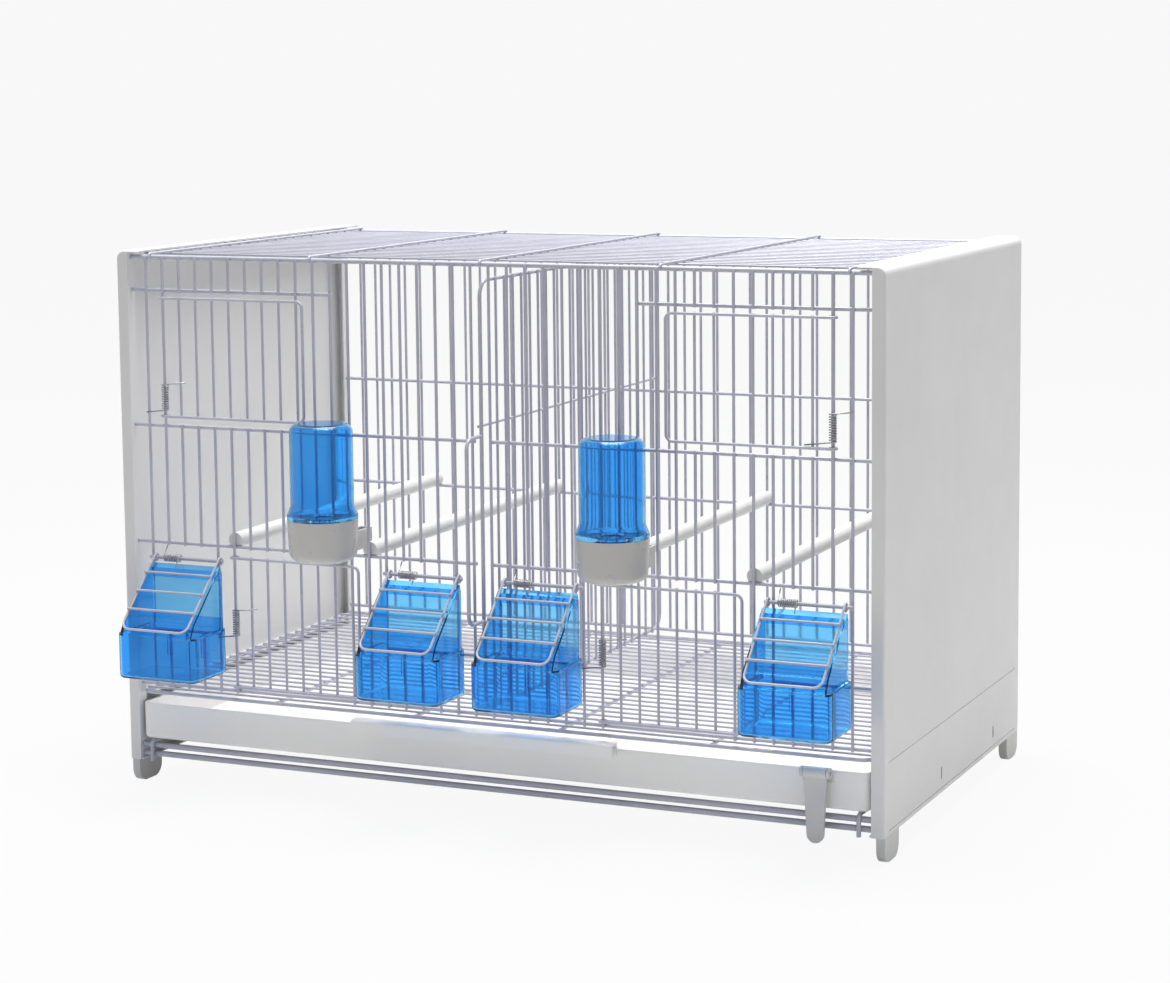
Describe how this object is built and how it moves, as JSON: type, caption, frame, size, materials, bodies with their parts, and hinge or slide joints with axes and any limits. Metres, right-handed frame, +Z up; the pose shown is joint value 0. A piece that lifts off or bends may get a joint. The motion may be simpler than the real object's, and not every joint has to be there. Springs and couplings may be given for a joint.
{
  "type": "breeding bird cage",
  "caption": "Wire breeding cage for small birds with sheet side panels, sprung doors, hopper feeders, drinkers, perches, a draw-out divider, floor grid and tray.",
  "frame": {"origin": "centre of the bounding box at the ground", "axes": "+X along the front to the right, -Y out of the front, +Z up"},
  "size_m": [0.55, 0.3574, 0.372],
  "materials": {
    "white_sheet": "satin",
    "white_wire": "gloss",
    "grey_plastic": "matte",
    "spring_steel": "satin",
    "blue_clear": "gloss",
    "cup_plastic": "gloss",
    "tray_plastic": "satin"
  },
  "bodies": {
    "cage": {"back_base_rods": "white_wire", "back_grille": "white_wire", "back_left_foot": "grey_plastic", "back_right_foot": "grey_plastic", "feeder_1_flap_spring": "spring_steel", "feeder_2_flap_spring": "spring_steel", "feeder_3_flap_spring": "spring_steel", "feeder_4_flap_spring": "spring_steel", "front_base_rods": "white_wire", "front_bottom_rail": "white_wire", "front_grille_left": "white_wire", "front_grille_right": "white_wire", "front_left_foot": "grey_plastic", "front_right_foot": "grey_plastic", "front_top_rail": "white_wire", "left_floor_ledge": "white_sheet", "left_inner_perch": "grey_plastic", "left_outer_perch": "grey_plastic", "left_side_panel": "white_sheet", "left_tray_runner": "white_wire", "lower_left_door_spring": "spring_steel", "lower_right_door_spring": "spring_steel", "right_floor_ledge": "white_sheet", "right_inner_perch": "grey_plastic", "right_outer_perch": "grey_plastic", "right_side_panel": "white_sheet", "right_tray_runner": "white_wire", "roof_grille": "white_wire", "upper_left_door_spring": "spring_steel", "upper_right_door_spring": "spring_steel"},
    "upper_left_door": {"upper_left_door": "white_wire"},
    "upper_right_door": {"upper_right_door": "white_wire"},
    "lower_left_door": {"lower_left_door": "white_wire"},
    "lower_right_door": {"lower_right_door": "white_wire"},
    "divider": {"divider": "white_wire", "divider_handle": "white_wire"},
    "floor_grid": {"floor_grid": "white_wire"},
    "tray": {"tray": "tray_plastic", "tray_handle": "tray_plastic", "catch_bracket": "grey_plastic", "catch_pin": "spring_steel"},
    "tray_catch": {"tray_catch": "grey_plastic"},
    "feeder_1": {"feeder_1": "blue_clear"},
    "feeder_1_flap": {"feeder_1_flap": "white_wire"},
    "feeder_2": {"feeder_2": "blue_clear"},
    "feeder_2_flap": {"feeder_2_flap": "white_wire"},
    "feeder_3": {"feeder_3": "blue_clear"},
    "feeder_3_flap": {"feeder_3_flap": "white_wire"},
    "feeder_4": {"feeder_4": "blue_clear"},
    "feeder_4_flap": {"feeder_4_flap": "white_wire"},
    "left_drinker_cup": {"left_drinker_cup": "cup_plastic"},
    "left_drinker_bottle": {"left_drinker_bottle": "blue_clear"},
    "right_drinker_cup": {"right_drinker_cup": "cup_plastic"},
    "right_drinker_bottle": {"right_drinker_bottle": "blue_clear"}
  },
  "joints": [
    {"name": "upper_left_door_hinge", "type": "hinge", "parent": "cage", "child": "upper_left_door", "pos_m": [-0.2405, -0.12825, 0.3], "axis": [0, 0, -1], "range_deg": [0, 100], "stiffness_Nm_per_rad": 0.02, "springref_deg": -28.65, "deforming": ["upper_left_door_spring"]},
    {"name": "upper_right_door_hinge", "type": "hinge", "parent": "cage", "child": "upper_right_door", "pos_m": [0.2405, -0.12825, 0.3], "axis": [0, 0, 1], "range_deg": [0, 100], "stiffness_Nm_per_rad": 0.02, "springref_deg": -28.65, "deforming": ["upper_right_door_spring"]},
    {"name": "lower_left_door_hinge", "type": "hinge", "parent": "cage", "child": "lower_left_door", "pos_m": [-0.1885, -0.12825, 0.12], "axis": [0, 0, -1], "range_deg": [0, 90], "stiffness_Nm_per_rad": 0.02, "springref_deg": -28.65, "deforming": ["lower_left_door_spring"]},
    {"name": "lower_right_door_hinge", "type": "hinge", "parent": "cage", "child": "lower_right_door", "pos_m": [0.0845, -0.12825, 0.12], "axis": [0, 0, -1], "range_deg": [0, 90], "stiffness_Nm_per_rad": 0.02, "springref_deg": -28.65, "deforming": ["lower_right_door_spring"]},
    {"name": "feeder_1_flap_hinge", "type": "hinge", "parent": "cage", "child": "feeder_1_flap", "pos_m": [-0.22425, -0.13052, 0.161], "axis": [-1, 0, 0], "range_deg": [0, 95], "stiffness_Nm_per_rad": 0.004, "springref_deg": -28.65, "deforming": ["feeder_1_flap_spring"]},
    {"name": "feeder_1_slide", "type": "slide", "parent": "cage", "child": "feeder_1", "axis": [0, 0.7193, 0.6947], "range_m": [-0.06, 0]},
    {"name": "feeder_2_flap_hinge", "type": "hinge", "parent": "cage", "child": "feeder_2_flap", "pos_m": [-0.04225, -0.13052, 0.161], "axis": [-1, 0, 0], "range_deg": [0, 95], "stiffness_Nm_per_rad": 0.004, "springref_deg": -28.65, "deforming": ["feeder_2_flap_spring"]},
    {"name": "feeder_2_slide", "type": "slide", "parent": "cage", "child": "feeder_2", "axis": [0, 0.7193, 0.6947], "range_m": [-0.06, 0]},
    {"name": "feeder_3_flap_hinge", "type": "hinge", "parent": "cage", "child": "feeder_3_flap", "pos_m": [0.04225, -0.13052, 0.161], "axis": [-1, 0, 0], "range_deg": [0, 95], "stiffness_Nm_per_rad": 0.004, "springref_deg": -28.65, "deforming": ["feeder_3_flap_spring"]},
    {"name": "feeder_3_slide", "type": "slide", "parent": "cage", "child": "feeder_3", "axis": [0, 0.7193, 0.6947], "range_m": [-0.06, 0]},
    {"name": "feeder_4_flap_hinge", "type": "hinge", "parent": "cage", "child": "feeder_4_flap", "pos_m": [0.22425, -0.13052, 0.161], "axis": [-1, 0, 0], "range_deg": [0, 95], "stiffness_Nm_per_rad": 0.004, "springref_deg": -28.65, "deforming": ["feeder_4_flap_spring"]},
    {"name": "feeder_4_slide", "type": "slide", "parent": "cage", "child": "feeder_4", "axis": [0, 0.7193, 0.6947], "range_m": [-0.06, 0]},
    {"name": "left_drinker_cup_slide", "type": "slide", "parent": "cage", "child": "left_drinker_cup", "axis": [0, -1, 0], "range_m": [0, 0.06]},
    {"name": "left_drinker_bottle_slide", "type": "slide", "parent": "left_drinker_cup", "child": "left_drinker_bottle", "axis": [0, 0, 1], "range_m": [0, 0.04]},
    {"name": "right_drinker_cup_slide", "type": "slide", "parent": "cage", "child": "right_drinker_cup", "axis": [0, -1, 0], "range_m": [0, 0.06]},
    {"name": "right_drinker_bottle_slide", "type": "slide", "parent": "right_drinker_cup", "child": "right_drinker_bottle", "axis": [0, 0, 1], "range_m": [0, 0.04]},
    {"name": "divider_slide", "type": "slide", "parent": "cage", "child": "divider", "axis": [0, -1, 0], "range_m": [0, 0.3]},
    {"name": "floor_grid_slide", "type": "slide", "parent": "cage", "child": "floor_grid", "axis": [0, -1, 0], "range_m": [0, 0.28]},
    {"name": "tray_slide", "type": "slide", "parent": "cage", "child": "tray", "axis": [0, -1, 0], "range_m": [0, 0.28]},
    {"name": "tray_catch_hinge", "type": "hinge", "parent": "tray", "child": "tray_catch", "pos_m": [0.232, -0.13625, 0.05682], "axis": [-1, 0, 0], "range_deg": [0, 90]}
  ]
}
